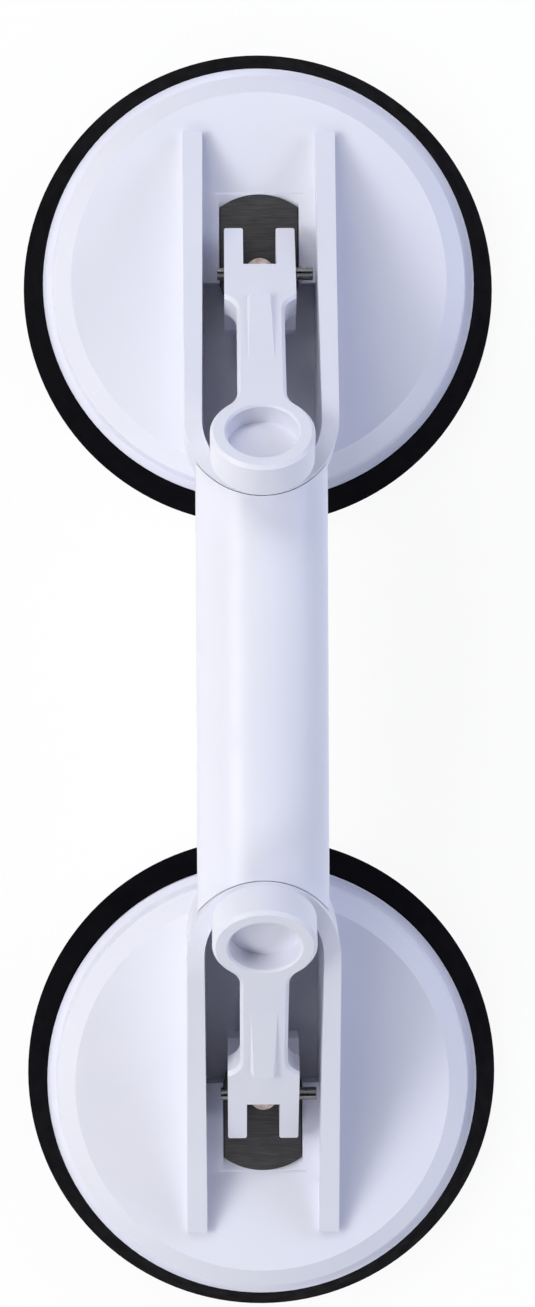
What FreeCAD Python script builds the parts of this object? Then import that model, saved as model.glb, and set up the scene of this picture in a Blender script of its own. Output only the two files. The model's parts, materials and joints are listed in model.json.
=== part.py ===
import FreeCAD, Part
import math
import os
import Sketcher

# Double suction-cup lifter: two rubber cups, each with a cam lever in a channel, joined by a grip.
# Millimetres, +Z up, origin under the middle of the grip on the surface that the cups stand on.
# The cups lie along Y. Each cup is drawn about its own stud, with +Y pointing away from the grip,
# and is then placed at its end of the tool.

doc = FreeCAD.newDocument("lifter")
sheet = doc.addObject("Spreadsheet::Sheet", "size")

DIMENSIONS = [
    ("cup_offset", 98.5, "stud axis to the middle of the grip"),
    # rubber pad
    ("pad_radius", 59.0, "widest radius of the rubber"),
    ("pad_seal_width", 8.0, "flat sealing ring on the surface"),
    ("pad_hollow", 2.0, "rise of the underside in its middle"),
    ("pad_hollow_run", 15.0, "slope from the sealing ring up to the underside's middle"),
    ("pad_rim_height", 8.6, "top of the thick rim"),
    ("pad_rim_slope", 5.4, "run of the rim's outer slope"),
    ("pad_rim_land", 9.5, "width of the rim's flat top"),
    ("pad_web_height", 6.4, "top of the thin web"),
    ("pad_boss_wall", 3.0, "rubber round the anchor disc, in the centre boss"),
    ("pad_boss_height", 9.6, "top of the centre boss"),
    ("soft_gap", 0.3, "room round a piece that moves in the rubber"),
    # anchor disc and stud
    ("disc_radius", 14.0, "anchor disc moulded into the rubber"),
    ("disc_thickness", 2.0, "anchor disc"),
    ("disc_height", 4.6, "underside of the anchor disc"),
    ("tail_step", 1.0, "stud's shoulder round its riveted tail"),
    ("stud_radius", 3.5, "stud"),
    ("stud_above_pin", 3.2, "top of the stud over the pin's axis"),
    ("stud_chamfer", 1.0, "edge of the stud's top"),
    # pin
    ("pin_radius", 1.5, "slotted spring pin"),
    ("pin_wall", 0.55, "rolled wall of the pin"),
    ("pin_slot", 0.8, "gap along the pin"),
    ("pin_end_gap", 0.9, "long end of the pin to the channel's wall"),
    ("pin_slide", 1.3, "pin's middle to one side of the stud"),
    ("pin_running_gap", 0.06, "radial clearance in the fork"),
    # cup housing
    ("flange_inset", 0.3, "foot of the shell inside the edge of the rubber's rim"),
    ("flange_height", 2.0, "foot of the shell"),
    ("flange_land", 2.0, "step from the foot in to the shell's side"),
    ("flange_lip", 0.5, "raised edge of the foot"),
    ("flange_lip_run", 0.9, "slope from the raised edge in to the foot"),
    ("skirt_lean", 0.8, "run of the shell's side"),
    ("skirt_height", 6.8, "shell's side over the rim"),
    ("band_run", 4.6, "run of the sloping band"),
    ("crown_height", 10.3, "flat top of the shell over the rim"),
    ("shell_wall", 2.8, "wall of the shell"),
    ("rib_thickness", 1.8, "ribs under the shell"),
    ("rib_count", 8, "ribs under the shell"),
    ("rib_gap", 2.2, "ribs' lower edge over the rubber web"),
    ("guide_wall", 3.1, "wall of the tube round the stud"),
    ("stud_gap", 0.4, "stud's clearance in the shell and the plate"),
    # channel walls
    ("channel_half", 13.7, "half of the channel's width"),
    ("wall_base", 5.0, "channel wall at the shell"),
    ("wall_draft", 1.35, "outer draft of the walls, degrees"),
    ("wall_inset", 9.9, "outer end of the walls inside the sloping band"),
    ("wall_out_rise", 1.2, "outer end of the walls over the plate's seat"),
    ("wall_mid_rise", 19.3, "walls beside the stud, over the plate's seat"),
    ("wall_in", 37.0, "stud to the centre of the channel's round end"),
    ("lip_height", 64.0, "top of the channel's round end"),
    ("lip_bend", 25.0, "bend of the walls' top edge into the round end"),
    ("pit_depth", 4.5, "channel floor under the lever, below the plate's seat"),
    ("pit_edge", 1.0, "start of the deep floor inboard of the stud"),
    # wear plate
    ("guide_width", 4.0, "guide between the plate and the channel's wall"),
    ("plate_thickness", 1.2, "wear plate"),
    ("plate_out", 20.7, "outer end of the plate from the stud"),
    ("plate_end_radius", 16.0, "arc of the plate's outer end"),
    ("plate_gap", 0.15, "side clearance between the guides"),
    ("plate_margin", 0.7, "seat beyond the outer end of the plate"),
    ("seat_rise", 0.8, "plate's seat over the shell's top"),
    ("seat_edge", 0.7, "rounded outer edge of the seat"),
    ("guide_rise", 1.3, "guides over the plate"),
    ("guide_corner", 2.9, "rounded inner corner of the guides"),
    ("guide_flare", 0.9, "hollow corner where a guide meets its wall"),
    # lever
    ("pin_over_plate", 10.0, "pin axis over the plate at rest"),
    ("lever_angle", 42.0, "lever's rise towards the grip at rest, degrees"),
    ("lever_swing", 60.0, "lever's swing outward, degrees"),
    ("lever_lift", 2.4, "lift of the stud over the whole swing"),
    ("cam_gap", 0.1, "gap between the fork and the plate"),
    ("fork_gap", 1.2, "fork's side to the guides"),
    ("slot_gap", 0.45, "stud's side clearance between the tines"),
    ("slot_end", 1.6, "closed end of the slot beyond the pin"),
    ("relief_gap", 0.9, "hollow in the fork, beyond the stud's side"),
    ("fork_top", 4.5, "top face over the pin's axis"),
    ("fork_back_top", 12.6, "pin to the back of the fork along the top"),
    ("heel_in", 13.8, "pin to the back of the heel, level"),
    ("heel_top", 2.5, "top of the heel over the pin's axis, level"),
    ("neck_half", 5.6, "half of the neck's width"),
    ("neck_thickness", 5.6, "neck"),
    ("neck_root_fillet", 5.3, "neck into the fork"),
    ("neck_dish_fillet", 5.0, "neck into the thumb dish"),
    ("rib_half", 3.3, "half of the rib on the neck"),
    ("rib_side", 32.0, "lean of the rib's sides, degrees"),
    ("rib_corner", 1.0, "plan corners of the rib"),
    ("rib_start", 12.4, "pin to the start of the rib"),
    ("rib_end", 36.0, "pin to where the rib runs out"),
    ("rib_rise", 1.4, "rib over the neck at its start"),
    ("dish_distance", 58.6, "pin to the centre of the dish"),
    ("dish_gap", 1.85, "thumb dish to the channel's wall"),
    ("dish_thickness", 8.3, "thumb dish"),
    ("dish_rim", 3.7, "wall round the thumb recess"),
    ("recess_depth", 5.2, "thumb recess"),
    ("dish_edge", 0.8, "chamfered top edge of the neck and the dish"),
    ("recess_edge", 0.5, "chamfered edge of the thumb recess"),
    ("tip_corner", 1.0, "rounded corners at the ends of the tines"),
    ("heel_corner", 1.5, "rounded top and bottom of the heel's back"),
    # grip
    ("grip_half", 15.4, "half of the grip's width"),
    ("grip_height", 27.5, "grip"),
    ("grip_fullness", 1.36364, "tightness of the grip's sides, per difference of its half sizes"),
    ("grip_wall", 3.0, "wall of the grip"),
    ("grip_gap", 0.15, "seam at the ends of the grip"),
    # spigots and screws
    ("spigot_gap", 3.9, "spigot's side to the inside of the grip"),
    ("spigot_height", 10.0, "spigot"),
    ("spigot_reach", 13.5, "spigot beyond the channel's round end"),
    ("screw_inset", 6.7, "screw from the end of the spigot"),
    ("screw_radius", 1.5, "self-tapping screw"),
    ("screw_length", 18.0, "screw, under its head"),
    ("screw_head_radius", 2.8, "pan head"),
    ("screw_head_height", 2.2, "pan head"),
    ("screw_boss", 4.2, "boss round a screw"),
    ("screw_clearance", 0.3, "clearance hole round a screw"),
    ("screw_floor", 3.0, "cover left under a head"),
]
for row, (alias, number, meaning) in enumerate(DIMENSIONS, start=1):
    sheet.set(f"A{row}", alias)
    sheet.set(f"B{row}", str(number))
    sheet.set(f"C{row}", meaning)
    sheet.setAlias(f"B{row}", alias)
doc.recompute()


class Size:
    """A number together with the spreadsheet formula that it comes from."""

    def __init__(self, value, formula):
        self.value = value
        self.formula = formula

    def joined(self, symbol, other, value):
        return Size(value, f"({self.formula} {symbol} {as_size(other).formula})")

    def __add__(self, other):
        return self.joined("+", other, self.value + as_size(other).value)

    def __radd__(self, other):
        return as_size(other) + self

    def __sub__(self, other):
        return self.joined("-", other, self.value - as_size(other).value)

    def __rsub__(self, other):
        return as_size(other) - self

    def __mul__(self, other):
        return self.joined("*", other, self.value * as_size(other).value)

    def __rmul__(self, other):
        return as_size(other) * self

    def __truediv__(self, other):
        return self.joined("/", other, self.value / as_size(other).value)

    def __neg__(self):
        return as_size(-1) * self


def as_size(number):
    return number if isinstance(number, Size) else Size(float(number), f"{float(number):.6f}")


def root(size):
    return Size(math.sqrt(size.value), f"sqrt({size.formula})")


def sine(angle):
    return Size(math.sin(math.radians(angle.value)), f"sin({angle.formula})")


def cosine(angle):
    return Size(math.cos(math.radians(angle.value)), f"cos({angle.formula})")


def tangent(angle):
    return sine(angle) / cosine(angle)


class Sheet:
    """Every alias of the spreadsheet as a Size."""

    def __getattr__(self, alias):
        return Size(float(sheet.get(alias)), f"size.{alias}")


s = Sheet()


def bind(thing, name, number):
    """Set a property and tie it to the spreadsheet."""
    size = as_size(number)
    if "." not in name:
        setattr(thing, name, size.value)
    if isinstance(number, Size):
        thing.setExpression(name, size.formula)


# ---------------------------------------------------------------- sketches

def new_body(label, turn=0.0, place=(0, 0, 0), tilt=0.0):
    """An empty body whose own frame is tilted about X, turned about Z and moved to its place."""
    body = doc.addObject("PartDesign::Body", label)
    body.Label = label
    upright = FreeCAD.Rotation(FreeCAD.Vector(0, 0, 1), turn)
    leaning = FreeCAD.Rotation(FreeCAD.Vector(1, 0, 0), tilt)
    body.Placement = FreeCAD.Placement(FreeCAD.Vector(*place), upright.multiply(leaning))
    return body


def new_sketch(body, name, plane, offset=0.0):
    """A sketch on one of the body's own origin planes, moved along the plane's normal."""
    sketch = body.newObject("Sketcher::SketchObject", f"{body.Name}_{name}")
    origin_plane = [item for item in body.Origin.OriginFeatures if item.Role == plane + "_Plane"][0]
    sketch.AttachmentSupport = (origin_plane, "")
    sketch.MapMode = "FlatFace"
    size = as_size(offset)
    sketch.AttachmentOffset = FreeCAD.Placement(FreeCAD.Vector(0, 0, size.value), FreeCAD.Rotation())
    if isinstance(offset, Size):
        sketch.setExpression("AttachmentOffset.Base.z", size.formula)
    return sketch


def dimension(sketch, kind, geometry, point, number):
    """One driving dimension of a sketch, tied to the spreadsheet; zero becomes a point on the axis."""
    size = as_size(number)
    if kind == "Radius":
        index = sketch.addConstraint(Sketcher.Constraint(kind, geometry, size.value))
    elif not isinstance(number, Size) and size.value == 0:
        axis = -2 if kind == "DistanceX" else -1
        sketch.addConstraint(Sketcher.Constraint("PointOnObject", geometry, point, axis))
        return
    else:
        index = sketch.addConstraint(Sketcher.Constraint(kind, -1, 1, geometry, point, size.value))
    if isinstance(number, Size):
        sketch.setExpression(f"Constraints[{index}]", size.formula)


def vector(position):
    return FreeCAD.Vector(as_size(position[0]).value, as_size(position[1]).value, 0)


def outline(sketch, corners):
    """A closed outline through the corners, in order.

    A corner is (x, y), reached by a straight line, or (x, y, centre_x, centre_y, way), reached by
    an arc about that centre that runs "left" (counter-clockwise) or "right" (clockwise).
    """
    count = len(corners)
    pieces = []
    for index in range(count):
        target = corners[(index + 1) % count]
        begin, end = vector(corners[index]), vector(target)
        if len(target) == 2:
            geometry = sketch.addGeometry(Part.LineSegment(begin, end), False)
            pieces.append((geometry, 1, 2))
            continue
        centre = vector(target[2:4])
        first, last = (begin, end) if target[4] == "left" else (end, begin)
        round_shape = Part.Circle(centre, FreeCAD.Vector(0, 0, 1), first.distanceToPoint(centre))
        angles = [math.atan2(item.y - centre.y, item.x - centre.x) for item in (first, last)]
        if angles[1] <= angles[0]:
            angles[1] += 2 * math.pi
        geometry = sketch.addGeometry(Part.ArcOfCircle(round_shape, angles[0], angles[1]), False)
        pieces.append((geometry, 1, 2) if target[4] == "left" else (geometry, 2, 1))
        dimension(sketch, "DistanceX", geometry, 3, target[2])
        dimension(sketch, "DistanceY", geometry, 3, target[3])
    for index in range(count):
        this, after = pieces[index], pieces[(index + 1) % count]
        sketch.addConstraint(Sketcher.Constraint("Coincident", this[0], this[2], after[0], after[1]))
        corner = corners[index]
        kinds = ["DistanceX", "DistanceY"]
        if len(corner) > 2:
            arm = vector(corner) - vector(corner[2:4])
            kinds.remove("DistanceX" if abs(arm.x) > abs(arm.y) else "DistanceY")
        for kind in kinds:
            dimension(sketch, kind, this[0], this[1], corner[0 if kind == "DistanceX" else 1])


def circle(sketch, x, y, radius):
    size = as_size(radius)
    shape = Part.Circle(vector((x, y)), FreeCAD.Vector(0, 0, 1), size.value)
    geometry = sketch.addGeometry(shape, False)
    dimension(sketch, "DistanceX", geometry, 3, x)
    dimension(sketch, "DistanceY", geometry, 3, y)
    dimension(sketch, "Radius", geometry, 0, radius)


def rectangle(sketch, left, bottom, right, top):
    outline(sketch, [(left, bottom), (right, bottom), (right, top), (left, top)])


# ---------------------------------------------------------------- features

def extrude(body, kind, sketch, length, both_ways=False, reverse=False, draft=None):
    """A pad or a pocket; a pocket has to take material away and a pad has to add it."""
    before = body.Shape.Volume if body.Tip else 0.0
    feature = body.newObject("PartDesign::" + kind, sketch.Name + "_" + kind.lower())
    feature.Profile = sketch
    feature.Type = "Length"
    feature.SideType = "Symmetric" if both_ways else "One side"
    feature.Reversed = reverse
    bind(feature, "Length", length)
    if draft is not None:
        bind(feature, "TaperAngle", draft)
    doc.recompute()
    change = body.Shape.Volume - before
    if (change >= 0) if kind == "Pocket" else (change <= 0):
        raise ValueError(f"{feature.Name} changes nothing")
    return feature


def turn_profile(body, kind, sketch):
    """A revolution or a groove of a profile about the sketch's upright axis."""
    before = body.Shape.Volume if body.Tip else 0.0
    feature = body.newObject("PartDesign::" + kind, sketch.Name + "_" + kind.lower())
    feature.Profile = sketch
    feature.ReferenceAxis = (sketch, ["V_Axis"])
    feature.Angle = 360.0
    doc.recompute()
    change = body.Shape.Volume - before
    if (change >= 0) if kind == "Groove" else (change <= 0):
        raise ValueError(f"{feature.Name} changes nothing")
    return feature


def soften_edges(body, kind, name, size, chosen):
    """A fillet or a chamfer on the edges of the body's last feature that the test picks.

    The test is given the edge's middle point.
    """
    last = body.Tip
    names = []
    for index, edge in enumerate(last.Shape.Edges, start=1):
        if chosen(edge.valueAt((edge.FirstParameter + edge.LastParameter) / 2)):
            names.append(f"Edge{index}")
    if not names:
        raise ValueError(f"{body.Label}: no edge for {name}")
    feature = body.newObject("PartDesign::" + kind, f"{body.Name}_{name}")
    feature.Base = (last, names)
    bind(feature, "Radius" if kind == "Fillet" else "Size", size)
    doc.recompute()
    return feature


def near(one, other, tolerance=0.05):
    return abs(one - as_size(other).value) < tolerance


# ---------------------------------------------------------------- places that pieces share

rim_top = s.pad_rim_height
shell_top = rim_top + s.crown_height
seat_top = shell_top + s.seat_rise
plate_top = seat_top + s.plate_thickness
pin_height = plate_top + s.pin_over_plate
stud_top = pin_height + s.stud_above_pin
pit_floor = seat_top - s.pit_depth
pit_underside = pit_floor - s.shell_wall
grip_axis = s.lip_height - s.grip_height / 2
wall_start = rim_top + s.skirt_height
outer_half = s.channel_half + s.wall_base
rim_outer = s.pad_radius - s.pad_rim_slope
flange_radius = rim_outer - s.flange_inset
skirt_radius = flange_radius - s.flange_land
skirt_top_radius = skirt_radius - s.skirt_lean
crown_radius = skirt_top_radius - s.band_run
wall_out = crown_radius - s.wall_inset
seat_out = s.plate_out + s.plate_margin
boss_radius = s.disc_radius + s.pad_boss_wall
guide_side = s.channel_half - s.guide_width
plate_half = guide_side - s.plate_gap
fork_half = guide_side - s.fork_gap
dish_radius = s.channel_half - s.dish_gap
recess_radius = dish_radius - s.dish_rim
pin_length = (s.channel_half - s.pin_end_gap - s.pin_slide) * 2
tail_radius = s.stud_radius - s.tail_step
fork_slot = s.stud_radius + s.slot_gap
stud_bore = s.stud_radius + s.stud_gap
guide_radius = stud_bore + s.guide_wall
spigot_half = s.grip_half - s.grip_wall - s.spigot_gap
screw_place = s.cup_offset - s.wall_in - outer_half - s.spigot_reach + s.screw_inset


# ---------------------------------------------------------------- one cup

def suction_pad(end):
    """Rubber pad: a sealing ring, a hollow underside, a thick rim and a boss round the anchor disc."""
    body = new_body("suction_pad_" + end.name, end.turn, end.place)
    profile = new_sketch(body, "profile", "XZ")
    seal_inner = s.pad_radius - s.pad_seal_width
    rim_inner = rim_outer - s.pad_rim_land
    stud_hole = s.stud_radius + s.soft_gap
    disc_hole = s.disc_radius + s.soft_gap
    disc_roof = s.disc_height + s.disc_thickness + s.soft_gap / 2
    outline(profile, [
        (0, s.pad_hollow),
        (seal_inner - s.pad_hollow_run, s.pad_hollow),
        (seal_inner, 0),
        (s.pad_radius, 0),
        (rim_outer, rim_top),
        (rim_inner, rim_top),
        (rim_inner, s.pad_web_height),
        (boss_radius, s.pad_web_height),
        (boss_radius, s.pad_boss_height),
        (stud_hole, s.pad_boss_height),
        (stud_hole, disc_roof),
        (disc_hole, disc_roof),
        (disc_hole, s.disc_height),
        (0, s.disc_height),
    ])
    turn_profile(body, "Revolution", profile)
    return body


def anchor_disc(end):
    """Steel disc moulded into the rubber, with a hole for the stud's riveted tail."""
    body = new_body("anchor_disc_" + end.name, end.turn, end.place)
    plan = new_sketch(body, "plan", "XY", s.disc_height)
    circle(plan, 0, 0, s.disc_radius)
    circle(plan, 0, 0, tail_radius)
    extrude(body, "Pad", plan, s.disc_thickness)
    return body


def stud(end):
    """Steel stud: a riveted tail, a shank that stands on the disc, a chamfered top and a cross hole."""
    body = new_body("stud_" + end.name, end.turn, end.place)
    disc_top = s.disc_height + s.disc_thickness
    profile = new_sketch(body, "profile", "XZ")
    outline(profile, [
        (0, s.disc_height),
        (tail_radius, s.disc_height),
        (tail_radius, disc_top),
        (s.stud_radius, disc_top),
        (s.stud_radius, stud_top - s.stud_chamfer),
        (s.stud_radius - s.stud_chamfer, stud_top),
        (0, stud_top),
    ])
    turn_profile(body, "Revolution", profile)
    cross = new_sketch(body, "cross_hole", "YZ")
    circle(cross, 0, pin_height, s.pin_radius)
    extrude(body, "Pocket", cross, s.stud_radius * 3, both_ways=True)
    return body


def pivot_pin(end):
    """Slotted spring pin, rolled from strip, through the stud and the lever's fork."""
    body = new_body("pivot_pin_" + end.name, end.turn, end.place)
    section = new_sketch(body, "section", "YZ", end.direction * s.pin_slide)
    inner = s.pin_radius - s.pin_wall
    half_slot = s.pin_slot / 2
    outer_side = root(s.pin_radius * s.pin_radius - half_slot * half_slot)
    inner_side = root(inner * inner - half_slot * half_slot)
    outline(section, [
        (half_slot, pin_height + inner_side),
        (-half_slot, pin_height + inner_side, 0, pin_height, "right"),
        (-half_slot, pin_height + outer_side),
        (half_slot, pin_height + outer_side, 0, pin_height, "left"),
    ])
    extrude(body, "Pad", section, pin_length, both_ways=True)
    return body


def wear_plate(end):
    """Steel plate under the cam: straight sides, a shallow outer arc and a round inner end."""
    body = new_body("wear_plate_" + end.name, end.turn, end.place)
    plan = new_sketch(body, "plan", "XY", seat_top)
    arc_centre = s.plate_out - s.plate_end_radius
    shoulder = arc_centre + root(s.plate_end_radius * s.plate_end_radius - plate_half * plate_half)
    outline(plan, [
        (plate_half, 0, 0, 0, "left"),
        (plate_half, shoulder),
        (-plate_half, shoulder, 0, arc_centre, "left"),
        (-plate_half, 0),
    ])
    circle(plan, 0, 0, stud_bore)
    extrude(body, "Pad", plan, s.plate_thickness)
    return body


def channel_walls(body):
    """The two drafted walls that meet in a round end, with a top edge that falls away outboard."""
    block = new_sketch(body, "walls", "XY", wall_start)
    outline(block, [
        (outer_half, -s.wall_in, 0, -s.wall_in, "left"),
        (outer_half, wall_out),
        (-outer_half, wall_out),
        (-outer_half, -s.wall_in),
    ])
    extrude(body, "Pad", block, s.lip_height - wall_start, draft=-s.wall_draft)
    channel = new_sketch(body, "channel", "XY", wall_start)
    outline(channel, [
        (s.channel_half, -s.wall_in, 0, -s.wall_in, "left"),
        (s.channel_half, wall_out + 5),
        (-s.channel_half, wall_out + 5),
        (-s.channel_half, -s.wall_in),
    ])
    extrude(body, "Pocket", channel, s.lip_height - wall_start + 1, reverse=True)
    side = new_sketch(body, "top_edge", "YZ")
    mid_top = seat_top + s.wall_mid_rise
    drop = s.lip_height - mid_top
    slope_length = root(s.wall_in * s.wall_in + drop * drop)
    bend_run = s.lip_bend * (slope_length - s.wall_in) / drop
    bend_start = -(s.wall_in + bend_run)
    outline(side, [
        (bend_start, s.lip_height),
        (-s.wall_in + bend_run * s.wall_in / slope_length, s.lip_height - bend_run * drop / slope_length,
         bend_start, s.lip_height - s.lip_bend, "right"),
        (0, mid_top),
        (wall_out, seat_top + s.wall_out_rise),
        (wall_out + 5, seat_top + s.wall_out_rise),
        (wall_out + 5, s.lip_height + 5),
        (bend_start, s.lip_height + 5),
    ])
    extrude(body, "Pocket", side, outer_half * 2 + 2, both_ways=True)


def shell_disc(body):
    """The round shell: foot flange, side, sloping band and flat top, hollow underneath."""
    profile = new_sketch(body, "shell", "XZ")
    inner_radius = skirt_top_radius - s.shell_wall
    ceiling = shell_top - s.shell_wall
    outline(profile, [
        (0, shell_top),
        (0, ceiling),
        (crown_radius - s.shell_wall / 2, ceiling),
        (inner_radius, wall_start - s.shell_wall / 2),
        (inner_radius, rim_top),
        (flange_radius, rim_top),
        (flange_radius, rim_top + s.flange_height + s.flange_lip),
        (flange_radius - s.flange_lip_run, rim_top + s.flange_height),
        (skirt_radius, rim_top + s.flange_height),
        (skirt_top_radius, wall_start),
        (crown_radius, shell_top),
    ])
    turn_profile(body, "Revolution", profile)


def shell_ribs(body):
    """Radial ribs under the shell, from the guide tube out to the sloping band."""
    low = s.pad_web_height + s.rib_gap + s.lever_lift
    rib = new_sketch(body, "rib", "XZ")
    rib_end = crown_radius - s.shell_wall
    rib_top = shell_top - s.shell_wall / 2
    outline(rib, [
        (guide_radius - 1, pit_underside),
        (boss_radius + 4, pit_underside),
        (boss_radius + 6, low),
        (rib_end, low),
        (rib_end, rib_top),
        (guide_radius - 1, rib_top),
    ])
    feature = extrude(body, "Pad", rib, s.rib_thickness, both_ways=True)
    pattern = body.newObject("PartDesign::PolarPattern", body.Name + "_ribs")
    pattern.Originals = [feature]
    axis = [item for item in body.Origin.OriginFeatures if item.Role == "Z_Axis"][0]
    pattern.Axis = (axis, [""])
    pattern.Angle = 360.0
    pattern.Occurrences = int(s.rib_count.value)
    pattern.setExpression("Occurrences", s.rib_count.formula)
    body.Tip = pattern
    doc.recompute()


def plate_seat(body):
    """Flat seat under the wear plate, its two guides, and the deep floor under the lever."""
    tub = new_sketch(body, "tub", "XY", pit_underside)
    tub_half = s.channel_half + s.shell_wall
    outline(tub, [
        (tub_half, -s.wall_in, 0, -s.wall_in, "left"),
        (tub_half, 0),
        (-tub_half, 0),
        (-tub_half, -s.wall_in),
    ])
    extrude(body, "Pad", tub, shell_top - pit_underside)
    seat = new_sketch(body, "seat", "XY", shell_top - s.shell_wall)
    into_wall = s.channel_half + 1
    rectangle(seat, -into_wall, -s.pit_edge, into_wall, seat_out)
    extrude(body, "Pad", seat, s.shell_wall + s.seat_rise)
    soften_edges(body, "Fillet", "seat_edge", s.seat_edge,
                 lambda middle: near(middle.y, seat_out) and near(middle.z, seat_top))
    guides = new_sketch(body, "guides", "XY", shell_top - s.shell_wall)
    rounded_x = guide_side + s.guide_corner
    rounded_y = seat_out - s.guide_corner
    flare_x = s.channel_half - s.guide_flare
    flare_y = seat_out + s.guide_flare
    for side, way, back in ((1, "left", "right"), (-1, "right", "left")):
        outline(guides, [
            (side * guide_side, -s.pit_edge),
            (side * into_wall, -s.pit_edge),
            (side * into_wall, flare_y),
            (side * s.channel_half, flare_y),
            (side * flare_x, seat_out, side * flare_x, flare_y, back),
            (side * rounded_x, seat_out),
            (side * guide_side, rounded_y, side * rounded_x, rounded_y, way),
        ])
    extrude(body, "Pad", guides, s.shell_wall + s.seat_rise + s.plate_thickness + s.guide_rise)
    pit = new_sketch(body, "pit", "XY", pit_floor)
    tongue = root(guide_side * guide_side - s.pit_edge * s.pit_edge)
    outline(pit, [
        (s.channel_half, -s.wall_in, 0, -s.wall_in, "left"),
        (s.channel_half, -s.pit_edge),
        (tongue, -s.pit_edge),
        (-tongue, -s.pit_edge, 0, 0, "right"),
        (-s.channel_half, -s.pit_edge),
        (-s.channel_half, -s.wall_in),
    ])
    extrude(body, "Pocket", pit, s.pit_depth + 4, reverse=True)


def cup_housing(end):
    """Moulded cup: shell, ribs, channel walls, plate seat and the spigot that carries the grip."""
    body = new_body("cup_housing_" + end.name, end.turn, end.place)
    channel_walls(body)
    shell_disc(body)
    shell_ribs(body)
    plate_seat(body)
    tube = new_sketch(body, "guide_tube", "XY", pit_underside)
    circle(tube, 0, 0, guide_radius)
    extrude(body, "Pad", tube, s.shell_wall * 2)
    hole = new_sketch(body, "stud_hole", "XY")
    circle(hole, 0, 0, stud_bore)
    extrude(body, "Pocket", hole, s.lip_height * 2, both_ways=True)
    spigot = new_sketch(body, "spigot", "XZ", s.wall_in + s.channel_half + 1)
    rectangle(spigot, -spigot_half, grip_axis - s.spigot_height / 2,
              spigot_half, grip_axis + s.spigot_height / 2)
    extrude(body, "Pad", spigot, outer_half - s.channel_half + s.spigot_reach - 1)
    screw_hole = new_sketch(body, "spigot_hole", "XY")
    circle(screw_hole, 0, screw_place - s.cup_offset, s.screw_radius + s.screw_clearance)
    extrude(body, "Pocket", screw_hole, s.lip_height * 2, both_ways=True)
    return body


# ---------------------------------------------------------------- lever

def level_to_lever(across, up):
    """A level place (outboard, up) from the pin, at rest, in the lever's own leaning frame."""
    lean = s.lever_angle
    return (across * cosine(lean) - up * sine(lean), across * sine(lean) + up * cosine(lean))


def lever_rib(body):
    """Rib on the neck: leaning sides, round corners at the fork, and a top that runs out into the neck."""
    buried = 0.3
    plan = new_sketch(body, "rib_plan", "XY", s.fork_top - buried)
    near_corner = -(s.rib_start + s.rib_corner)
    inner_x = s.rib_half - s.rib_corner
    outline(plan, [
        (s.rib_half, -s.rib_end),
        (s.rib_half, near_corner),
        (inner_x, -s.rib_start, inner_x, near_corner, "left"),
        (-inner_x, -s.rib_start),
        (-s.rib_half, near_corner, -inner_x, near_corner, "left"),
        (-s.rib_half, -s.rib_end),
    ])
    extrude(body, "Pad", plan, s.rib_rise + buried, draft=-s.rib_side)
    above = new_sketch(body, "rib_slope", "YZ")
    outline(above, [
        (-s.rib_start, s.fork_top + s.rib_rise),
        (-s.rib_end, s.fork_top),
        (-s.rib_end, s.fork_top + s.rib_rise * 2),
        (-s.rib_start, s.fork_top + s.rib_rise * 2),
    ])
    extrude(body, "Pocket", above, s.rib_half * 3, both_ways=True)


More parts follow.
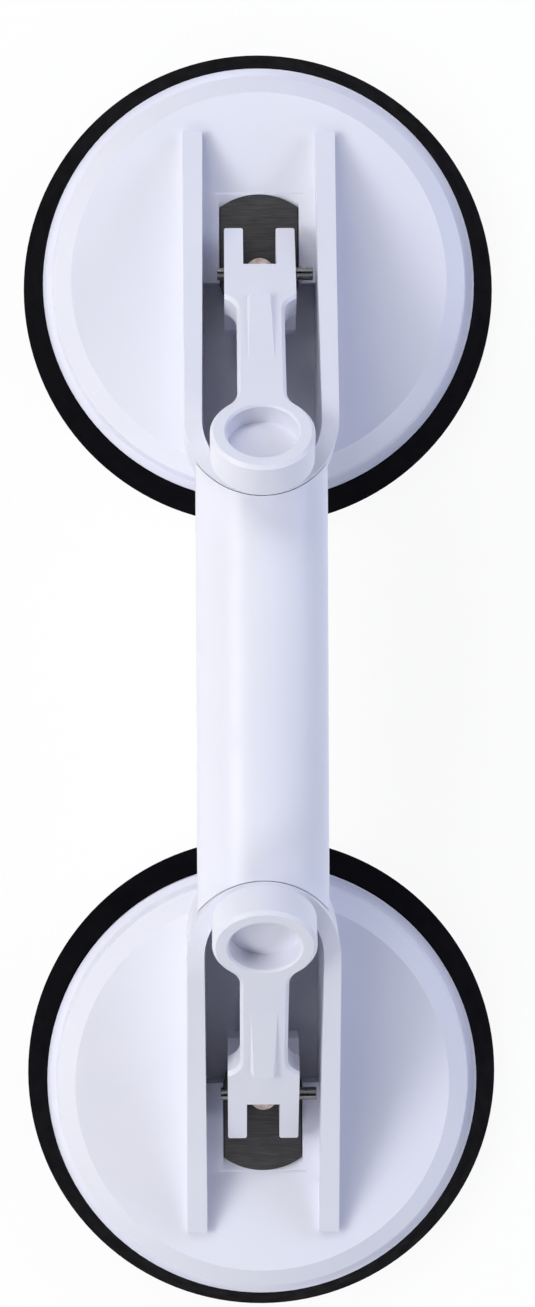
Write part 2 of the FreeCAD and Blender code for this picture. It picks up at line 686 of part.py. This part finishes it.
def cam_lever(end):
    """Cam lever: a forked cam block, a ribbed neck and a round thumb dish.

    Its frame starts at the pin: Y runs along the lever to the tips of the tines and Z is square
    to the top face, so the dish lies at negative Y.
    """
    body = new_body("cam_lever_" + end.name, end.turn, end.place, -s.lever_angle.value)
    half_lift = s.lever_lift / 2
    half_swing = s.lever_swing / 2
    throw = half_lift / sine(half_swing)
    cam_radius = s.pin_over_plate + half_lift - s.cam_gap
    centre = level_to_lever(throw * cosine(half_swing), half_lift)
    heel = s.cam_gap - s.pin_over_plate
    heel_back = level_to_lever(-s.heel_in, heel)
    heel_above = level_to_lever(-s.heel_in, s.heel_top)
    heel_front = level_to_lever(throw * cosine(half_swing), heel)
    rise = s.fork_top - centre[1]
    tip = (centre[0] + root(cam_radius * cam_radius - rise * rise), s.fork_top)
    side = new_sketch(body, "fork", "YZ")
    outline(side, [
        (-s.fork_back_top, s.fork_top),
        heel_above,
        heel_back,
        heel_front,
        (tip[0], tip[1], centre[0], centre[1], "left"),
    ])
    extrude(body, "Pad", side, fork_half * 2, both_ways=True)
    soften_edges(body, "Fillet", "heel", s.heel_corner, lambda middle: any(
        near(middle.y, corner[0]) and near(middle.z, corner[1]) for corner in (heel_above, heel_back)))

    neck = new_sketch(body, "neck", "XY", s.fork_top - s.neck_thickness)
    flare = s.neck_dish_fillet
    reach = dish_radius + flare
    flare_x = s.neck_half + flare
    flare_y = -s.dish_distance + root(reach * reach - flare_x * flare_x)
    touch_x = flare_x * dish_radius / reach
    touch_y = -s.dish_distance + (flare_y + s.dish_distance) * dish_radius / reach
    root_y = -(s.fork_back_top + s.neck_root_fillet)
    root_x = s.neck_half + s.neck_root_fillet
    spread = fork_half - root_x
    root_top = root_y + root(s.neck_root_fillet * s.neck_root_fillet - spread * spread)
    outline(neck, [
        (fork_half, -s.fork_back_top / 2),
        (-fork_half, -s.fork_back_top / 2),
        (-fork_half, root_top),
        (-s.neck_half, root_y, -root_x, root_y, "right"),
        (-s.neck_half, flare_y),
        (-touch_x, touch_y, -flare_x, flare_y, "right"),
        (touch_x, touch_y, 0, -s.dish_distance, "left"),
        (s.neck_half, flare_y, flare_x, flare_y, "right"),
        (s.neck_half, root_y),
        (fork_half, root_top, root_x, root_y, "right"),
    ])
    extrude(body, "Pad", neck, s.neck_thickness)

    dish = new_sketch(body, "dish", "XY", s.fork_top - s.dish_thickness)
    circle(dish, 0, -s.dish_distance, dish_radius)
    extrude(body, "Pad", dish, s.dish_thickness)
    neck_start = root_y.value
    soften_edges(body, "Chamfer", "top_edge", s.dish_edge,
                 lambda middle: near(middle.z, s.fork_top) and middle.y < neck_start)
    lever_rib(body)

    slot = new_sketch(body, "slot", "YZ")
    relief = s.stud_radius + s.relief_gap
    back = level_to_lever(-relief, 0)
    below = level_to_lever(-relief, -(s.pin_over_plate + 4))
    outline(slot, [
        (-s.slot_end, root(relief * relief - s.slot_end * s.slot_end)),
        (back[0], back[1], 0, 0, "left"),
        below,
        (s.pin_over_plate * 2, below[1]),
        (s.pin_over_plate * 2, s.fork_top + 2),
        (-s.slot_end, s.fork_top + 2),
    ])
    extrude(body, "Pocket", slot, fork_slot * 2, both_ways=True)
    corners = new_sketch(body, "tip_corners", "XY")
    tip_end = centre[0] + cam_radius
    turn_y = tip_end - s.tip_corner
    for edge_x, inward in ((fork_half, -1), (fork_slot, 1), (-fork_slot, -1), (-fork_half, 1)):
        turn_x = edge_x + inward * s.tip_corner
        outline(corners, [
            (edge_x, turn_y, turn_x, turn_y, "right" if inward < 0 else "left"),
            (edge_x - inward, turn_y),
            (edge_x - inward, tip_end + 1),
            (turn_x, tip_end + 1),
            (turn_x, tip_end),
        ])
    extrude(body, "Pocket", corners, s.pin_over_plate * 4, both_ways=True)
    hole = new_sketch(body, "pin_hole", "YZ")
    circle(hole, 0, 0, s.pin_radius + s.pin_running_gap)
    extrude(body, "Pocket", hole, fork_half * 3, both_ways=True)
    recess = new_sketch(body, "recess", "XY", s.fork_top - s.recess_depth)
    circle(recess, 0, -s.dish_distance, recess_radius)
    extrude(body, "Pocket", recess, s.recess_depth + 3, reverse=True)
    soften_edges(body, "Chamfer", "recess_edge", s.recess_edge,
                 lambda middle: near(middle.z, s.fork_top) and near(abs(middle.x), recess_radius))
    return body


# ---------------------------------------------------------------- grip

def grip_section(sketch, inset, upper):
    """Half of the grip's oval section: two side arcs and a flatter arc between them.

    The side arcs are tighter than the half height where the grip is wider than high.
    """
    half_height = s.grip_height / 2 - inset
    half_width = s.grip_half - inset
    side = half_height - (half_width - half_height) * s.grip_fullness
    side_x = half_width - side
    crown = (side_x * side_x + half_height * half_height - side * side) / ((half_height - side) * 2)
    crown_z = half_height - crown
    share = crown / (crown - side)
    touch_x = side_x * share
    touch_z = crown_z - crown_z * share
    sign = 1 if upper else -1
    way = "left" if upper else "right"
    outline(sketch, [
        (half_width, grip_axis),
        (touch_x, grip_axis + sign * touch_z, side_x, grip_axis, way),
        (-touch_x, grip_axis + sign * touch_z, 0, grip_axis + sign * crown_z, way),
        (-half_width, grip_axis, -side_x, grip_axis, way),
    ])


def grip_shell(label, upper):
    """Half of the hollow grip, with its ends cut round the channel ends and a boss for each screw."""
    body = new_body(label)
    sign = 1 if upper else -1
    outside = new_sketch(body, "outside", "XZ")
    grip_section(outside, 0, upper)
    span = (s.cup_offset - s.wall_in) * 2
    extrude(body, "Pad", outside, span, both_ways=True)
    inside = new_sketch(body, "inside", "XZ")
    grip_section(inside, s.grip_wall, upper)
    extrude(body, "Pocket", inside, span + 2, both_ways=True)
    half_height = s.grip_height / 2
    half_spigot = s.spigot_height / 2
    bosses = new_sketch(body, "bosses", "XY", grip_axis + sign * half_spigot)
    for end in (1, -1):
        circle(bosses, 0, end * screw_place, s.screw_boss)
    extrude(body, "Pad", bosses, half_height - half_spigot - s.grip_wall / 2, reverse=not upper)
    for end in (1, -1):
        cone = body.newObject("PartDesign::SubtractiveCone", f"{label}_end_{'a' if end > 0 else 'b'}")
        slope = tangent(s.wall_draft)
        low = s.lip_height - s.grip_height - 5
        high = s.lip_height + 5
        bind(cone, "Radius1", outer_half + s.grip_gap - (low - wall_start) * slope)
        bind(cone, "Radius2", outer_half + s.grip_gap - (high - wall_start) * slope)
        bind(cone, "Height", s.grip_height + 10)
        middle = s.cup_offset - s.wall_in
        cone.AttachmentOffset = FreeCAD.Placement(
            FreeCAD.Vector(0, end * middle.value, low.value), FreeCAD.Rotation())
        cone.AttachmentSupport = ([item for item in body.Origin.OriginFeatures
                                   if item.Role == "XY_Plane"][0], "")
        cone.MapMode = "FlatFace"
        cone.setExpression("AttachmentOffset.Base.y", (end * middle).formula)
        cone.setExpression("AttachmentOffset.Base.z", low.formula)
        doc.recompute()
    drill = new_sketch(body, "drill", "XY", grip_axis)
    hole_radius = s.screw_radius if upper else s.screw_radius + s.screw_clearance
    for end in (1, -1):
        circle(drill, 0, end * screw_place, hole_radius)
    if upper:
        extrude(body, "Pocket", drill, half_height - s.grip_wall, reverse=True)
    else:
        extrude(body, "Pocket", drill, s.grip_height)
        sinks = new_sketch(body, "sinks", "XY", grip_axis - half_spigot - s.screw_floor)
        for end in (1, -1):
            circle(sinks, 0, end * screw_place, s.screw_head_radius + s.screw_clearance)
        extrude(body, "Pocket", sinks, s.grip_height)
    return body


def grip_screws():
    """The self-tapping screws that close the grip, one up through each spigot."""
    group = doc.addObject("Part::Compound", "grip_screws")
    seat = grip_axis - s.spigot_height / 2 - s.screw_floor
    screws = []
    for index, end in enumerate((1, -1)):
        place = end * screw_place
        head = doc.addObject("Part::Cylinder", f"screw_head_{index}")
        bind(head, "Radius", s.screw_head_radius)
        bind(head, "Height", s.screw_head_height)
        shank = doc.addObject("Part::Cylinder", f"screw_shank_{index}")
        bind(shank, "Radius", s.screw_radius)
        bind(shank, "Height", s.screw_length)
        for piece, height in ((head, seat - s.screw_head_height), (shank, seat)):
            piece.Placement.Base = FreeCAD.Vector(0, place.value, height.value)
            piece.setExpression("Placement.Base.y", place.formula)
            piece.setExpression("Placement.Base.z", height.formula)
        screw = doc.addObject("Part::Fuse", f"screw_{index}")
        screw.Base = head
        screw.Tool = shank
        screws.append(screw)
    group.Links = screws
    group.Label = "grip_screws"
    doc.recompute()
    return group


# ---------------------------------------------------------------- the whole lifter

class End:
    """One end of the tool: a name, its turn about Z and where its stud stands."""

    def __init__(self, name, turn, direction):
        self.name = name
        self.turn = turn
        self.place = (0, direction * s.cup_offset.value, 0)
        self.direction = direction


nodes = []
for end in (End("a", 0.0, 1), End("b", 180.0, -1)):
    for make in (suction_pad, anchor_disc, stud, pivot_pin, wear_plate, cup_housing, cam_lever):
        body = make(end)
        body.setExpression("Placement.Base.y", (end.direction * s.cup_offset).formula)
        if make is cam_lever:
            body.setExpression("Placement.Base.z", pin_height.formula)
        nodes.append(body)
nodes.append(grip_shell("grip_top", True))
nodes.append(grip_shell("grip_cover", False))
nodes.append(grip_screws())
doc.recompute()

for thing in doc.Objects:
    if "Invalid" in thing.State or "Error" in thing.State:
        raise ValueError(f"{thing.Label} failed: {thing.State}")
for node in nodes:
    if node.Shape.isNull() or not node.Shape.isValid():
        raise ValueError(f"{node.Label} has no valid shape")

os.makedirs("parts", exist_ok=True)
for node in nodes:
    node.Shape.exportStep(f"parts/{node.Label}.step")
    box = node.Shape.BoundBox
    print(node.Label, len(node.Shape.Solids), "solid(s)", round(node.Shape.Volume, 1), "mm3",
          [round(v, 2) for v in (box.XMin, box.XMax, box.YMin, box.YMax, box.ZMin, box.ZMax)])
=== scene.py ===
import json
import math

import bmesh
import bpy
from mathutils import Matrix, Vector


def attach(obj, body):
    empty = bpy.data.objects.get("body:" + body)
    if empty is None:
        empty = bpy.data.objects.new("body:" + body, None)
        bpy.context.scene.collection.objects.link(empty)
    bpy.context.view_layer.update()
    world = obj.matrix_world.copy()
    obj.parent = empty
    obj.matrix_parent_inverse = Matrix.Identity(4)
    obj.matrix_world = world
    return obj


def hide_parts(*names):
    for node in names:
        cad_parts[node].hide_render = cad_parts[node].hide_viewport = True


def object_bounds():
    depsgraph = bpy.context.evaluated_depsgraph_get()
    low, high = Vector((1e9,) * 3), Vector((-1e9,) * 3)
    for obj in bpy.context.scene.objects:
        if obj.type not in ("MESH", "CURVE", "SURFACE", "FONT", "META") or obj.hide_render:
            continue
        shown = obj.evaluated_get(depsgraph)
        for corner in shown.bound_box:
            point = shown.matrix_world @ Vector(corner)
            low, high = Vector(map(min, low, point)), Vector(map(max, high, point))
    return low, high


MM = 0.001
ENDS = ("a", "b")

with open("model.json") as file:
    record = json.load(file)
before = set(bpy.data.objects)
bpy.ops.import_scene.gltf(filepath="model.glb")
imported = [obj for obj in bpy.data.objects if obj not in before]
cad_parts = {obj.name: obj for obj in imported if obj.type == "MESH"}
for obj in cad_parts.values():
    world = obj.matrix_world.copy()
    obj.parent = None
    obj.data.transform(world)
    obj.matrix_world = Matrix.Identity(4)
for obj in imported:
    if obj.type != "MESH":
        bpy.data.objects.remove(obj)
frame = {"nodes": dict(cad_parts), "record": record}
cad_box = [list(corner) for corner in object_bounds()]
ground = cad_box[0][2]


# ---------------------------------------------------------------- materials

class Shader:
    """One procedural material: a Principled shader and the nodes that vary it."""

    def __init__(self, name, colour, roughness, **fixed):
        self.material = bpy.data.materials.new(name)
        self.material.use_nodes = True
        self.nodes = self.material.node_tree.nodes
        self.links = self.material.node_tree.links
        self.shader = self.nodes["Principled BSDF"]
        self.shader.inputs["Base Color"].default_value = (*colour, 1)
        self.shader.inputs["Roughness"].default_value = roughness
        for socket, value in fixed.items():
            self.shader.inputs[socket.replace("_", " ")].default_value = value
        self.colour = colour
        self.last_bump = None

    def place(self, stretch=(1, 1, 1)):
        """Object coordinates, stretched: 1 along an axis is a metre."""
        coordinates = self.nodes.new("ShaderNodeTexCoord")
        mapping = self.nodes.new("ShaderNodeMapping")
        mapping.inputs["Scale"].default_value = stretch
        self.links.new(coordinates.outputs["Object"], mapping.inputs["Vector"])
        return mapping.outputs["Vector"]

    def noise(self, size, detail=3, stretch=(1, 1, 1), rough=0.5):
        """Noise whose lumps are about that many metres across."""
        texture = self.nodes.new("ShaderNodeTexNoise")
        texture.inputs["Scale"].default_value = 1 / size
        texture.inputs["Detail"].default_value = detail
        texture.inputs["Roughness"].default_value = rough
        self.links.new(self.place(stretch), texture.inputs["Vector"])
        return texture.outputs["Fac"]

    def spread(self, value, low_end, high_end, start=0.3, stop=0.7):
        """Maps a texture's middle range onto low_end..high_end."""
        mapped = self.nodes.new("ShaderNodeMapRange")
        mapped.inputs["From Min"].default_value = start
        mapped.inputs["From Max"].default_value = stop
        mapped.inputs["To Min"].default_value = low_end
        mapped.inputs["To Max"].default_value = high_end
        self.links.new(value, mapped.inputs["Value"])
        return mapped.outputs["Result"]

    def vary_colour(self, value, other, most=1.0):
        """Blends from the colour so far to another one by a texture, at most by that share."""
        mix = self.nodes.new("ShaderNodeMix")
        mix.data_type = "RGBA"
        factor, first, second = mix.inputs[0], mix.inputs[6], mix.inputs[7]
        source = self.shader.inputs["Base Color"]
        if source.is_linked:
            self.links.new(source.links[0].from_socket, first)
        else:
            first.default_value = (*self.colour, 1)
        second.default_value = (*other, 1)
        self.links.new(self.spread(value, 0, most), factor)
        self.links.new(mix.outputs[2], source)

    def vary_roughness(self, value, low_end, high_end):
        """Roughness between two values by a texture."""
        self.links.new(self.spread(value, low_end, high_end), self.shader.inputs["Roughness"])

    def bump(self, value, depth):
        """Surface relief of that many metres, on top of the relief so far."""
        node = self.nodes.new("ShaderNodeBump")
        node.inputs["Distance"].default_value = depth
        self.links.new(value, node.inputs["Height"])
        if self.last_bump is not None:
            self.links.new(self.last_bump, node.inputs["Normal"])
        self.last_bump = node.outputs["Normal"]
        self.links.new(self.last_bump, self.shader.inputs["Normal"])


def moulded_plastic(name, colour, roughness):
    """Satin moulding: a fine spark-eroded grain and faint flow shading."""
    made = Shader(name, colour, roughness, Specular_IOR_Level=0.3)
    cooler = tuple(value * share for value, share in zip(colour, (0.965, 0.97, 0.985)))
    made.vary_colour(made.noise(0.035, 2), cooler)
    made.vary_roughness(made.noise(0.006, 4), roughness - 0.05, roughness + 0.06)
    made.bump(made.noise(0.00045, 2), 0.000012)
    made.bump(made.noise(0.02, 1), 0.00006)
    return made.material


def moulded_rubber(name, dark, light, roughness):
    """Dull black rubber with a faint bloom and a fine grain."""
    made = Shader(name, dark, roughness, Specular_IOR_Level=0.008)
    made.vary_colour(made.noise(0.012, 5, rough=0.65), light)
    made.vary_roughness(made.noise(0.004, 5), roughness - 0.08, roughness + 0.12)
    made.bump(made.noise(0.0006, 3), 0.00003)
    return made.material


def brushed_steel(name, dark, light, roughness, stretch):
    """Metal with grain lines: stretch is small along the lines and large across them."""
    made = Shader(name, dark, roughness, Metallic=1.0)
    stain = tuple(value * 0.8 for value in dark)
    made.vary_colour(made.noise(0.0003, 3, stretch, 0.6), light)
    made.vary_colour(made.noise(0.007, 3), stain, 0.3)
    made.vary_roughness(made.noise(0.0006, 3, stretch), roughness - 0.08, roughness + 0.12)
    made.bump(made.noise(0.0004, 3, stretch, 0.7), 0.000006)
    return made.material


def worn_steel(name, colour, stain, roughness, pit_size=0.0012):
    """Plain metal with fine pits and a slight stain."""
    made = Shader(name, colour, roughness, Metallic=1.0)
    made.vary_colour(made.noise(pit_size * 1.8, 4, rough=0.65), stain, 0.8)
    made.vary_roughness(made.noise(pit_size, 4), roughness - 0.08, roughness + 0.15)
    made.bump(made.noise(pit_size * 0.5, 4, rough=0.65), 0.00004)
    return made.material


MATERIALS = {
    "white_plastic": moulded_plastic("white_plastic_finish", (0.754, 0.753, 0.840), 0.36),
    "black_rubber": moulded_rubber(
        "black_rubber_finish", (0.0018, 0.0018, 0.0030), (0.0034, 0.0034, 0.0050), 0.5,
    ),
    "brushed_plate": brushed_steel(
        "brushed_plate_finish", (0.032, 0.031, 0.033), (0.056, 0.054, 0.058), 0.42,
        stretch=(0.06, 1, 1),
    ),
    "plain_steel": worn_steel("plain_steel_finish", (0.5, 0.5, 0.51), (0.36, 0.35, 0.34), 0.38),
    "stud_steel": worn_steel(
        "stud_steel_finish", (0.46, 0.39, 0.36), (0.17, 0.13, 0.12), 0.38, pit_size=0.0010,
    ),
    "pin_steel": worn_steel("pin_steel_finish", (0.21, 0.21, 0.22), (0.12, 0.115, 0.115), 0.27),
    "screw_steel": worn_steel("screw_steel_finish", (0.60, 0.60, 0.62), (0.45, 0.45, 0.46), 0.3),
}


# ---------------------------------------------------------------- shapes

NODE_SLOT = {part["node"]: part["material_slot"] for part in frame["record"]["subparts"]}
NODE_BODY = {
    node: body
    for body, nodes in frame["record"]["behaviour"]["bodies"].items()
    for node in nodes
}
SAME_POINT = 0.002 * MM
FLAT_ENOUGH = math.radians(0.4)
BEVELLED_FROM = math.radians(32)
SHARP_FROM = math.radians(40)

# Widths of the rounded edges in millimetres.
END_EDGES = {
    "cup_housing": 0.35,
    "cam_lever": 0.3,
    "wear_plate": 0.15,
    "pivot_pin": 0.1,
    "stud": 0.2,
    "suction_pad": 0.15,
    "anchor_disc": 0.2,
}
GRIP_EDGES = {
    "grip_top": 0.4,
    "grip_cover": 0.4,
    "grip_screws": 0.15,
}


def softened(node, width):
    """A copy of a CAD node with its seams closed and its sharp edges rounded as a moulding's are."""
    mesh = bpy.data.meshes.new(node + "_soft")
    work = bmesh.new()
    work.from_mesh(frame["nodes"][node].data)
    bmesh.ops.remove_doubles(work, verts=work.verts, dist=SAME_POINT)
    bmesh.ops.dissolve_limit(work, angle_limit=FLAT_ENOUGH, verts=work.verts, edges=work.edges)
    work.to_mesh(mesh)
    work.free()
    piece = bpy.data.objects.new(node + "_soft", mesh)
    bpy.context.scene.collection.objects.link(piece)
    bevel = piece.modifiers.new("rounded_edges", "BEVEL")
    bevel.width = width * MM
    bevel.segments = 3
    bevel.limit_method = "ANGLE"
    bevel.angle_limit = BEVELLED_FROM
    bevel.use_clamp_overlap = True
    bevel.harden_normals = True
    bevel.miter_outer = "MITER_ARC"
    finish(piece, node)
    weighted = piece.modifiers.new("even_shading", "WEIGHTED_NORMAL")
    weighted.keep_sharp = True
    weighted.weight = 100


def finish(piece, node):
    """Gives a piece the material, body and slot of the CAD node it stands for."""
    piece.data.materials.clear()
    piece.data.materials.append(MATERIALS[NODE_SLOT[node]])
    piece.data.shade_smooth()
    bpy.context.view_layer.objects.active = piece
    piece.data.set_sharp_from_angle(angle=SHARP_FROM)
    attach(piece, NODE_BODY[node])
    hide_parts(node)


for end in ENDS:
    for kind, edge in END_EDGES.items():
        softened(f"{kind}_{end}", edge)
for grip_node, edge in GRIP_EDGES.items():
    softened(grip_node, edge)


# ---------------------------------------------------------------- stage

FLOOR_HALF = 3.0
SHADOW_SHARE = 0.1
LAMP_SIZE = (0.5, 0.35)
# Name, place in metres, power in watts and colour. Every lamp points at the origin.
LAMPS = [
    ("left", (-0.645, 0.0, 0.70), 4.9, (1.0, 1.0, 0.97)),
    ("upper", (-0.336, 0.582, 0.672), 3.0, (1.0, 1.0, 0.97)),
    ("lower", (-0.374, -0.648, 0.585), 2.8, (0.96, 0.98, 1.0)),
    ("right", (0.795, 0.29, 0.431), 3.15, (0.76, 0.84, 1.0)),
    ("right_lower", (0.684, -0.574, 0.325), 2.4, (0.82, 0.87, 1.0)),
    ("right_upper", (0.411, 0.713, 0.475), 1.2, (0.62, 0.7, 1.0)),
]
CAMERA_PLACE = (-0.008, 0.0163, 0.650)
CAMERA_LENS = 70.98
SENSOR_HEIGHT = 36
CAMERA_TILT = math.radians(0.816)
CAMERA_LEAN = math.radians(0.879)
CAMERA_ROLL = math.radians(0.248)


def seen_directly(nodes, links):
    """1 for the camera's rays and those that reflect or pass through glass, 0 for the light's."""
    path = nodes.new("ShaderNodeLightPath")
    either = nodes.new("ShaderNodeMath")
    either.operation = "MAXIMUM"
    links.new(path.outputs["Is Camera Ray"], either.inputs[0])
    links.new(path.outputs["Is Glossy Ray"], either.inputs[1])
    any_of_them = nodes.new("ShaderNodeMath")
    any_of_them.operation = "MAXIMUM"
    links.new(either.outputs["Value"], any_of_them.inputs[0])
    links.new(path.outputs["Is Transmission Ray"], any_of_them.inputs[1])
    return any_of_them.outputs["Value"]


def looks_white(material):
    """White to the camera and in reflections, except for its share of shadow, and plain for the light."""
    material.use_nodes = True
    nodes, links = material.node_tree.nodes, material.node_tree.links
    nodes.clear()
    output = nodes.new("ShaderNodeOutputMaterial")
    glow = nodes.new("ShaderNodeEmission")
    plain = nodes.new("ShaderNodeBsdfDiffuse")
    shown = nodes.new("ShaderNodeMixShader")
    chosen = nodes.new("ShaderNodeMixShader")
    plain.inputs["Color"].default_value = (0.9, 0.9, 0.9, 1)
    glow.inputs["Strength"].default_value = 1.0
    shown.inputs["Fac"].default_value = SHADOW_SHARE
    links.new(glow.outputs["Emission"], shown.inputs[1])
    links.new(plain.outputs["BSDF"], shown.inputs[2])
    links.new(seen_directly(nodes, links), chosen.inputs["Fac"])
    links.new(plain.outputs["BSDF"], chosen.inputs[1])
    links.new(shown.outputs["Shader"], chosen.inputs[2])
    links.new(chosen.outputs["Shader"], output.inputs["Surface"])


def build_floor():
    """A large square at the height of the object's lowest point."""
    mesh = bpy.data.meshes.new("floor")
    corners = [
        (-FLOOR_HALF, -FLOOR_HALF, ground),
        (FLOOR_HALF, -FLOOR_HALF, ground),
        (FLOOR_HALF, FLOOR_HALF, ground),
        (-FLOOR_HALF, FLOOR_HALF, ground),
    ]
    mesh.from_pydata(corners, [], [(0, 1, 2, 3)])
    floor = bpy.data.objects.new("floor", mesh)
    bpy.context.scene.collection.objects.link(floor)
    material = bpy.data.materials.new("floor_white")
    looks_white(material)
    mesh.materials.append(material)


def build_world():
    """White to the camera and in reflections and glass, and dark for the light."""
    world = bpy.data.worlds.new("studio")
    bpy.context.scene.world = world
    world.use_nodes = True
    nodes, links = world.node_tree.nodes, world.node_tree.links
    nodes.clear()
    output = nodes.new("ShaderNodeOutputWorld")
    white = nodes.new("ShaderNodeBackground")
    white.inputs["Color"].default_value = (1, 1, 1, 1)
    links.new(seen_directly(nodes, links), white.inputs["Strength"])
    links.new(white.outputs["Background"], output.inputs["Surface"])


def add_lamp(name, place, power, colour):
    """A soft rectangular lamp that points at the origin."""
    light = bpy.data.lights.new(name, "AREA")
    light.shape = "RECTANGLE"
    light.size, light.size_y = LAMP_SIZE
    light.energy = power
    light.color = colour
    lamp = bpy.data.objects.new(name, light)
    lamp.location = place
    lamp.rotation_euler = (-Vector(place)).to_track_quat("-Z", "Y").to_euler()
    bpy.context.scene.collection.objects.link(lamp)


def build_camera():
    """Looks straight down, turned by less than a degree on each axis."""
    camera = bpy.data.objects.new("camera", bpy.data.cameras.new("camera"))
    camera.data.sensor_fit = "VERTICAL"
    camera.data.sensor_height = SENSOR_HEIGHT
    camera.data.lens = CAMERA_LENS
    camera.data.clip_start = 0.01
    roll = Matrix.Rotation(CAMERA_ROLL, 3, "Z")
    tilt = Matrix.Rotation(CAMERA_TILT, 3, "X")
    lean = Matrix.Rotation(CAMERA_LEAN, 3, "Y")
    turn = (roll @ tilt @ lean).transposed()
    camera.matrix_world = Matrix.LocRotScale(Vector(CAMERA_PLACE), turn, None)
    bpy.context.scene.collection.objects.link(camera)
    bpy.context.scene.camera = camera


build_camera()
build_floor()
build_world()
for lamp_row in LAMPS:
    add_lamp(*lamp_row)
bpy.context.scene.view_settings.view_transform = "Standard"
